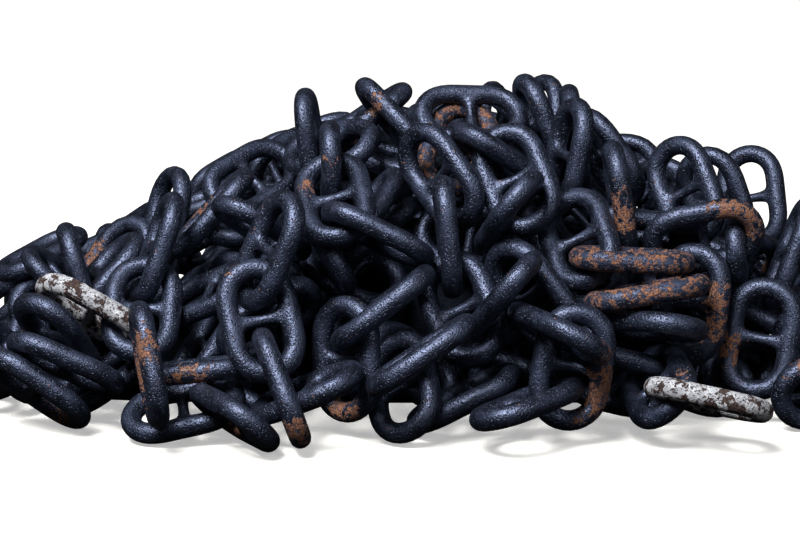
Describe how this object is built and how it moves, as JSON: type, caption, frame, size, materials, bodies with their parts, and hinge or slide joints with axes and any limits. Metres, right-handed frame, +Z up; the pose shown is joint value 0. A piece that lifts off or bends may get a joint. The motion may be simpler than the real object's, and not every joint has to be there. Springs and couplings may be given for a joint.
{
  "type": "heap of iron chain",
  "caption": "Low long heap of heavy black stud-link iron chain, loosely piled, with rust patches and a few chalky white links.",
  "frame": {"origin": "middle of the heap's bounding box, on the floor under it", "axes": "+X along the heap's length, to the right as seen from its front; +Y from the front to the back; +Z up"},
  "size_m": [3.015, 2.3196, 0.956],
  "materials": {
    "tar_paint": "black bitumen paint, semi-gloss, pitted, with small rust patches",
    "rusty_paint": "worn black paint with orange-brown rust",
    "chalky_paint": "chipped white marking paint over black paint and rust",
    "buried_iron": "dull black, in deep shade"
  },
  "bodies": {
    "root": {"front_link_01": "tar_paint", "front_link_02": "tar_paint", "front_link_03": "tar_paint", "front_link_04": "tar_paint", "front_link_05": "tar_paint", "front_link_06": "tar_paint", "front_link_07": "tar_paint", "front_link_08": "tar_paint", "front_link_09": "tar_paint", "front_link_10": "tar_paint", "front_link_11": "tar_paint", "front_link_12": "tar_paint", "front_link_13": "tar_paint", "front_link_14": "tar_paint", "front_link_15": "tar_paint", "front_link_16": "tar_paint", "front_link_17": "tar_paint", "front_link_18": "tar_paint", "front_link_19": "tar_paint", "front_link_20": "tar_paint", "front_link_21": "tar_paint", "heap_core": "buried_iron", "left_link_01": "tar_paint", "left_link_02": "tar_paint", "left_link_03": "chalky_paint", "left_link_04": "tar_paint", "left_link_05": "tar_paint", "left_link_06": "tar_paint", "left_link_07": "tar_paint", "left_link_08": "tar_paint", "left_link_09": "tar_paint", "left_link_10": "tar_paint", "left_link_11": "tar_paint", "left_link_12": "tar_paint", "left_link_13": "tar_paint", "right_link_01": "tar_paint", "right_link_02": "tar_paint", "right_link_03": "tar_paint", "right_link_04": "rusty_paint", "right_link_05": "rusty_paint", "right_link_06": "tar_paint", "right_link_07": "tar_paint", "right_link_08": "tar_paint", "right_link_09": "tar_paint", "right_link_10": "tar_paint", "right_link_11": "tar_paint", "right_link_12": "chalky_paint", "right_link_13": "tar_paint", "upper_link_01": "tar_paint", "upper_link_02": "tar_paint", "upper_link_03": "tar_paint", "upper_link_04": "tar_paint", "upper_link_05": "tar_paint", "upper_link_06": "tar_paint", "upper_link_07": "tar_paint", "upper_link_08": "rusty_paint", "upper_link_09": "tar_paint", "upper_link_10": "tar_paint", "upper_link_11": "tar_paint", "upper_link_12": "tar_paint"}
  },
  "joints": []
}
